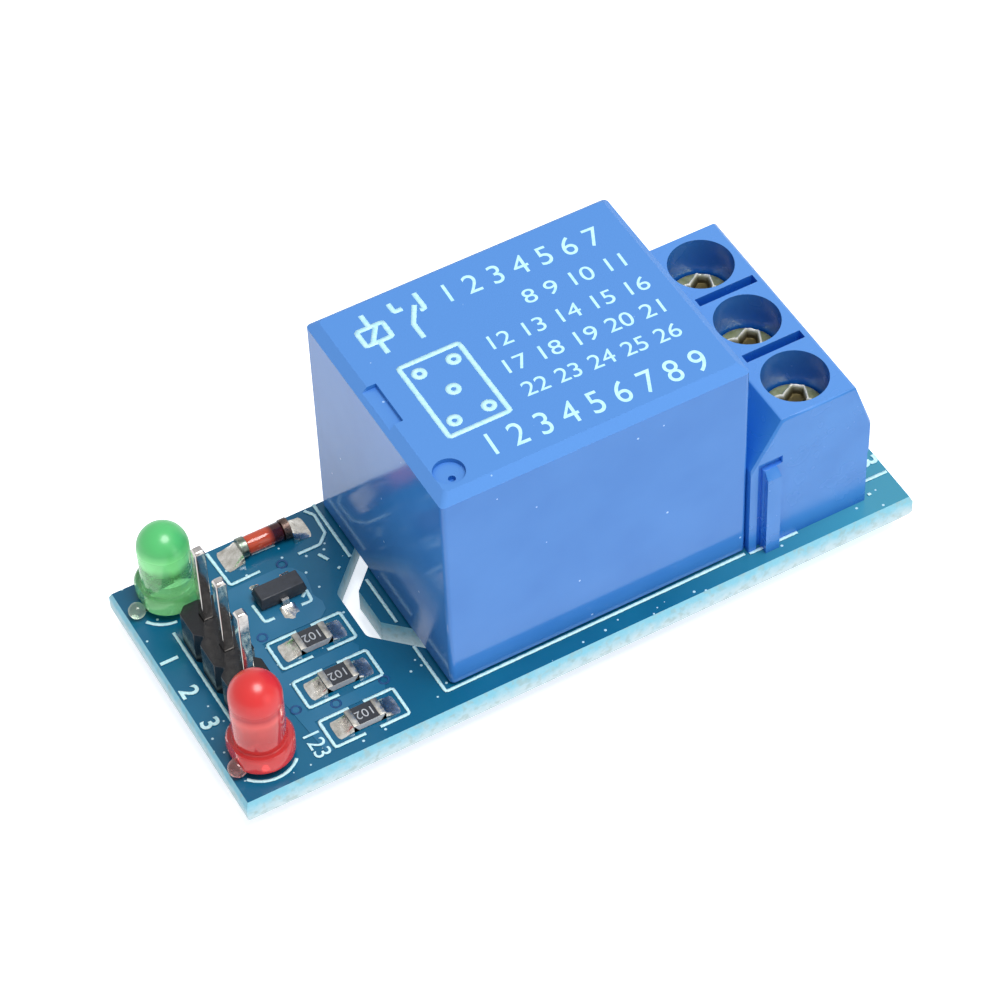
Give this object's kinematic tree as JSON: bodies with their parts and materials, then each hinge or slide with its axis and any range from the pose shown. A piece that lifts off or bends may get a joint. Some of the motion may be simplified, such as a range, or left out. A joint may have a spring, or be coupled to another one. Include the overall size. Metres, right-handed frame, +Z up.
{
  "type": "relay module board",
  "caption": "Small circuit board with a boxed changeover relay, a screw terminal block, a pin header and signal lights.",
  "frame": {"origin": "centre of the board's outline, level with the tips of the solder tails", "axes": "+X along the board from the pin header to the terminal block, +Y across the board to the left when looking along +X, +Z up"},
  "size_m": [0.0428, 0.0172, 0.0185],
  "materials": {
    "board": "glossy blue solder mask over glass fibre",
    "relay_plastic": "glossy blue moulding",
    "base_plastic": "plain moulding",
    "bobbin_plastic": "plain moulding",
    "copper_wire": "enamelled wire",
    "soft_iron": "plated iron",
    "spring_bronze": "rolled strip",
    "contact_silver": "silver alloy",
    "tinned_metal": "tin plate",
    "nickel_plate": "nickel plate",
    "yellow_zinc": "yellow zinc plate",
    "terminal_plastic": "satin blue moulding",
    "black_plastic": "satin black moulding",
    "green_epoxy": "clear-tinted epoxy",
    "red_epoxy": "clear-tinted epoxy",
    "led_frame": "tin plate",
    "amber_glass": "clear glass",
    "silicon": "polished chip",
    "black_moulding": "fine matt moulding",
    "resistor_ceramic": "dark glaze over white ceramic",
    "plated_end": "tin plate",
    "solder": "bright solder"
  },
  "bodies": {
    "module": {"circuit_board": "board", "diode_cap_1": "tinned_metal", "diode_cap_2": "tinned_metal", "diode_chip": "silicon", "diode_glass": "amber_glass", "green_led_cup_lead": "led_frame", "green_led_lens": "green_epoxy", "green_led_post_lead": "led_frame", "header_body": "black_plastic", "header_pin_1": "tinned_metal", "header_pin_2": "tinned_metal", "header_pin_3": "tinned_metal", "header_solder": "solder", "led_solder": "solder", "red_led_cup_lead": "led_frame", "red_led_lens": "red_epoxy", "red_led_post_lead": "led_frame", "relay_base": "base_plastic", "relay_bobbin": "bobbin_plastic", "relay_closed_contact": "contact_silver", "relay_closed_strip": "tinned_metal", "relay_coil_pin_1": "tinned_metal", "relay_coil_pin_2": "tinned_metal", "relay_common_pin": "tinned_metal", "relay_core": "soft_iron", "relay_cover": "relay_plastic", "relay_open_contact": "contact_silver", "relay_open_strip": "tinned_metal", "relay_solder": "solder", "relay_winding": "copper_wire", "relay_yoke": "soft_iron", "resistor_1_body": "resistor_ceramic", "resistor_1_caps": "plated_end", "resistor_2_body": "resistor_ceramic", "resistor_2_caps": "plated_end", "resistor_3_body": "resistor_ceramic", "resistor_3_caps": "plated_end", "surface_solder": "solder", "terminal_housing": "terminal_plastic", "terminal_solder": "solder", "terminal_strip_1": "tinned_metal", "terminal_strip_2": "tinned_metal", "terminal_strip_3": "tinned_metal", "transistor_body": "black_moulding", "transistor_lead_1": "tinned_metal", "transistor_lead_2": "tinned_metal", "transistor_lead_3": "tinned_metal"},
    "armature": {"relay_armature": "soft_iron", "relay_contact_spring": "spring_bronze", "relay_moving_contact": "contact_silver"},
    "screw_1": {"terminal_screw_1": "yellow_zinc"},
    "clamp_1": {"terminal_clamp_1": "nickel_plate"},
    "screw_2": {"terminal_screw_2": "yellow_zinc"},
    "clamp_2": {"terminal_clamp_2": "nickel_plate"},
    "screw_3": {"terminal_screw_3": "yellow_zinc"},
    "clamp_3": {"terminal_clamp_3": "nickel_plate"}
  },
  "joints": [
    {"name": "armature_pivot", "type": "hinge", "parent": "module", "child": "armature", "pos_m": [-0.00583, 0.00058, 0.01415], "axis": [0, 1, 0], "range_deg": [0, 3], "stiffness_Nm_per_rad": 0.02, "springref_deg": -5.73},
    {"name": "screw_turn_1", "type": "hinge", "parent": "module", "child": "screw_1", "pos_m": [0.01545, 0.00515, 0.01075], "axis": [0, 0, 1], "range_deg": [-1600, 0]},
    {"name": "clamp_rise_1", "type": "slide", "parent": "module", "child": "clamp_1", "axis": [0, 0, 1], "range_m": [0, 0.002]},
    {"name": "screw_turn_2", "type": "hinge", "parent": "module", "child": "screw_2", "pos_m": [0.01545, 0.00015, 0.01075], "axis": [0, 0, 1], "range_deg": [-1600, 0]},
    {"name": "clamp_rise_2", "type": "slide", "parent": "module", "child": "clamp_2", "axis": [0, 0, 1], "range_m": [0, 0.002]},
    {"name": "screw_turn_3", "type": "hinge", "parent": "module", "child": "screw_3", "pos_m": [0.01545, -0.00485, 0.01075], "axis": [0, 0, 1], "range_deg": [-1600, 0]},
    {"name": "clamp_rise_3", "type": "slide", "parent": "module", "child": "clamp_3", "axis": [0, 0, 1], "range_m": [0, 0.002]}
  ],
  "couplings": [
    {"joint": "screw_turn_1", "follows": "clamp_rise_1", "rad_per_m": -13963},
    {"joint": "screw_turn_2", "follows": "clamp_rise_2", "rad_per_m": -13963},
    {"joint": "screw_turn_3", "follows": "clamp_rise_3", "rad_per_m": -13963}
  ]
}
